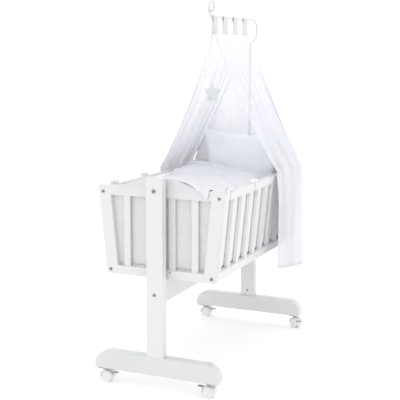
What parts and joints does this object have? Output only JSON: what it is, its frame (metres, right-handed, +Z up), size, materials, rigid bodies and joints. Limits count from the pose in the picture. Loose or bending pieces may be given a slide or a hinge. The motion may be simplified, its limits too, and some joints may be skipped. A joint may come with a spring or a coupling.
{
  "type": "baby cradle",
  "caption": "Swinging slatted baby cradle hung between two uprights on a castored stand, with bedding, a canopy rod, a sheer veil and a hanging star.",
  "frame": {"origin": "on the floor, midway between the two uprights and midway across the width", "axes": "+Z up; X is the cradle's width; the foot end faces -Y and the head end, with the canopy pole, faces +Y"},
  "size_m": [0.568, 1.1271, 1.532],
  "materials": {
    "white_lacquer": "satin",
    "natural_wood": "matte",
    "steel": "satin",
    "dark_bolt": "satin",
    "white_plastic": "satin",
    "grey_plastic": "matte",
    "white_rod": "gloss",
    "mattress_cover": "matte",
    "quilt_cotton": "matte",
    "pillow_cotton": "matte",
    "nest_cotton": "matte",
    "ribbon": "satin",
    "voile": "matte",
    "star_cotton": "matte",
    "cord": "matte"
  },
  "bodies": {
    "stand": {"foot_front": "white_lacquer", "foot_head": "white_lacquer", "post_front": "white_lacquer", "post_head": "white_lacquer", "stretcher": "white_lacquer", "stand_bolts": "dark_bolt", "stand_barrel_nuts": "steel", "stand_dowels": "natural_wood", "pivot_bolts": "dark_bolt", "castor_plates": "steel", "castor_screws": "steel", "canopy_socket": "white_plastic", "canopy_pole": "white_rod", "canopy_crook": "white_rod", "veil": "voile"},
    "cradle": {"front_panel_top_rail": "white_lacquer", "front_panel_bottom_rail": "white_lacquer", "front_panel_stiles": "white_lacquer", "head_panel_top_rail": "white_lacquer", "head_panel_bottom_rail": "white_lacquer", "head_panel_stiles": "white_lacquer", "end_panel_slats": "white_lacquer", "side_left_top_rail": "white_lacquer", "side_left_bottom_rail": "white_lacquer", "side_left_slats": "white_lacquer", "side_right_top_rail": "white_lacquer", "side_right_bottom_rail": "white_lacquer", "side_right_slats": "white_lacquer", "base_board": "white_lacquer", "base_cleats": "natural_wood", "corner_bolts": "dark_bolt", "corner_nuts": "steel", "pivot_bushes": "grey_plastic", "mattress": "mattress_cover", "duvet": "quilt_cotton", "pillow": "pillow_cotton", "bumper": "nest_cotton", "bumper_ties": "ribbon", "veil_skirts": "voile"},
    "lock_pin_left": {"lock_pin_left": "grey_plastic"},
    "lock_pin_right": {"lock_pin_right": "grey_plastic"},
    "star_pendant": {"star": "star_cotton", "star_ring": "white_rod", "star_cord": "cord"},
    "castor_front_left": {"castor_front_left_hood": "white_plastic"},
    "castor_front_left_wheelset": {"castor_front_left_wheels": "white_plastic", "castor_front_left_axle": "steel"},
    "castor_front_left_lever": {"castor_front_left_brake": "grey_plastic"},
    "castor_front_right": {"castor_front_right_hood": "white_plastic"},
    "castor_front_right_wheelset": {"castor_front_right_wheels": "white_plastic", "castor_front_right_axle": "steel"},
    "castor_front_right_lever": {"castor_front_right_brake": "grey_plastic"},
    "castor_head_left": {"castor_head_left_hood": "white_plastic"},
    "castor_head_left_wheelset": {"castor_head_left_wheels": "white_plastic", "castor_head_left_axle": "steel"},
    "castor_head_left_lever": {"castor_head_left_brake": "grey_plastic"},
    "castor_head_right": {"castor_head_right_hood": "white_plastic"},
    "castor_head_right_wheelset": {"castor_head_right_wheels": "white_plastic", "castor_head_right_axle": "steel"},
    "castor_head_right_lever": {"castor_head_right_brake": "grey_plastic"}
  },
  "joints": [
    {"name": "cradle_swing", "type": "hinge", "parent": "stand", "child": "cradle", "pos_m": [0, 0, 0.785], "axis": [0, -1, 0], "range_deg": [-8, 8]},
    {"name": "lock_pin_right_slide", "type": "slide", "parent": "cradle", "child": "lock_pin_right", "axis": [0, -1, 0], "range_m": [0, 0.025]},
    {"name": "lock_pin_left_slide", "type": "slide", "parent": "cradle", "child": "lock_pin_left", "axis": [0, 1, 0], "range_m": [-0.025, 0]},
    {"name": "star_swing", "type": "hinge", "parent": "stand", "child": "star_pendant", "pos_m": [0, 0.043, 1.464], "axis": [0, 1, 0], "range_deg": [-10, 10]},
    {"name": "castor_front_left_swivel", "type": "hinge", "parent": "stand", "child": "castor_front_left", "pos_m": [-0.237, -0.5005, 0.05], "axis": [0, 0, 1], "continuous": true},
    {"name": "castor_front_left_roll", "type": "hinge", "parent": "castor_front_left", "child": "castor_front_left_wheelset", "pos_m": [-0.221, -0.5005, 0.022], "axis": [0, 1, 0], "continuous": true},
    {"name": "castor_front_left_brake", "type": "hinge", "parent": "castor_front_left", "child": "castor_front_left_lever", "pos_m": [-0.195, -0.5005, 0.0365], "axis": [0, 1, 0], "range_deg": [0, 14]},
    {"name": "castor_front_right_swivel", "type": "hinge", "parent": "stand", "child": "castor_front_right", "pos_m": [0.237, -0.5005, 0.05], "axis": [0, 0, 1], "continuous": true},
    {"name": "castor_front_right_roll", "type": "hinge", "parent": "castor_front_right", "child": "castor_front_right_wheelset", "pos_m": [0.221, -0.5005, 0.022], "axis": [0, -1, 0], "continuous": true},
    {"name": "castor_front_right_brake", "type": "hinge", "parent": "castor_front_right", "child": "castor_front_right_lever", "pos_m": [0.195, -0.5005, 0.0365], "axis": [0, -1, 0], "range_deg": [0, 14]},
    {"name": "castor_head_left_swivel", "type": "hinge", "parent": "stand", "child": "castor_head_left", "pos_m": [-0.237, 0.5005, 0.05], "axis": [0, 0, 1], "continuous": true},
    {"name": "castor_head_left_roll", "type": "hinge", "parent": "castor_head_left", "child": "castor_head_left_wheelset", "pos_m": [-0.221, 0.5005, 0.022], "axis": [0, 1, 0], "continuous": true},
    {"name": "castor_head_left_brake", "type": "hinge", "parent": "castor_head_left", "child": "castor_head_left_lever", "pos_m": [-0.195, 0.5005, 0.0365], "axis": [0, 1, 0], "range_deg": [0, 14]},
    {"name": "castor_head_right_swivel", "type": "hinge", "parent": "stand", "child": "castor_head_right", "pos_m": [0.237, 0.5005, 0.05], "axis": [0, 0, 1], "continuous": true},
    {"name": "castor_head_right_roll", "type": "hinge", "parent": "castor_head_right", "child": "castor_head_right_wheelset", "pos_m": [0.24831, 0.48919, 0.022], "axis": [0.7071, 0.7071, 0], "continuous": true},
    {"name": "castor_head_right_brake", "type": "hinge", "parent": "castor_head_right", "child": "castor_head_right_lever", "pos_m": [0.2667, 0.4708, 0.0365], "axis": [0.7071, 0.7071, 0], "range_deg": [0, 14]}
  ]
}
